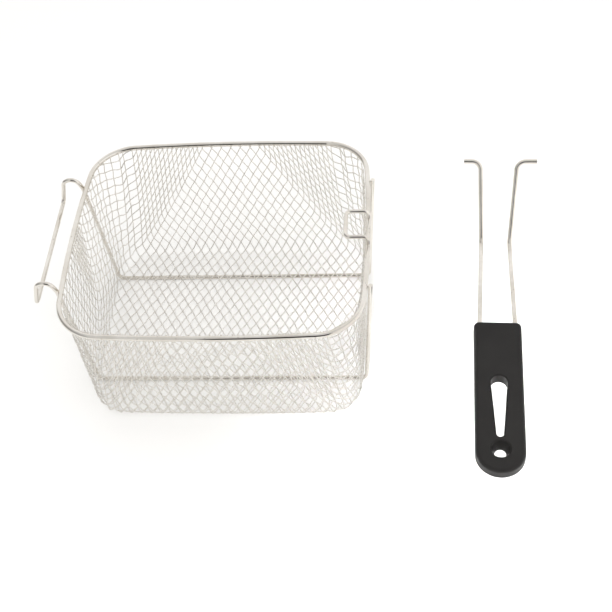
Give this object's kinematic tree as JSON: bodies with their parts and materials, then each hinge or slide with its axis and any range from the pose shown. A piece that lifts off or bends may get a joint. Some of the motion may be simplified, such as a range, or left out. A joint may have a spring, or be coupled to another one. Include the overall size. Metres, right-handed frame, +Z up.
{
  "type": "deep fryer basket",
  "caption": "Rectangular wire mesh basket for a deep fryer, with rim, runners, drain hook and handle bracket, and its pull-off handle lying beside it.",
  "frame": {"origin": "middle of the footprint of the whole set, on the surface that it stands on", "axes": "+X from the basket's hook side to the handle, +Y away from the viewer along the grip towards the prongs, +Z up"},
  "size_m": [0.3552, 0.2574, 0.1134],
  "materials": {
    "woven_wire": "tinned and bright, thin woven wire",
    "plated_wire": "bright nickel plating on drawn steel wire",
    "black_grip": "satin black moulded heat-resisting plastic"
  },
  "bodies": {
    "root": {"mesh_basket": "woven_wire", "rim_wire": "plated_wire", "cradle_wire": "plated_wire", "handle_bracket": "plated_wire", "handle_wire": "plated_wire", "handle_grip": "black_grip"}
  },
  "joints": []
}
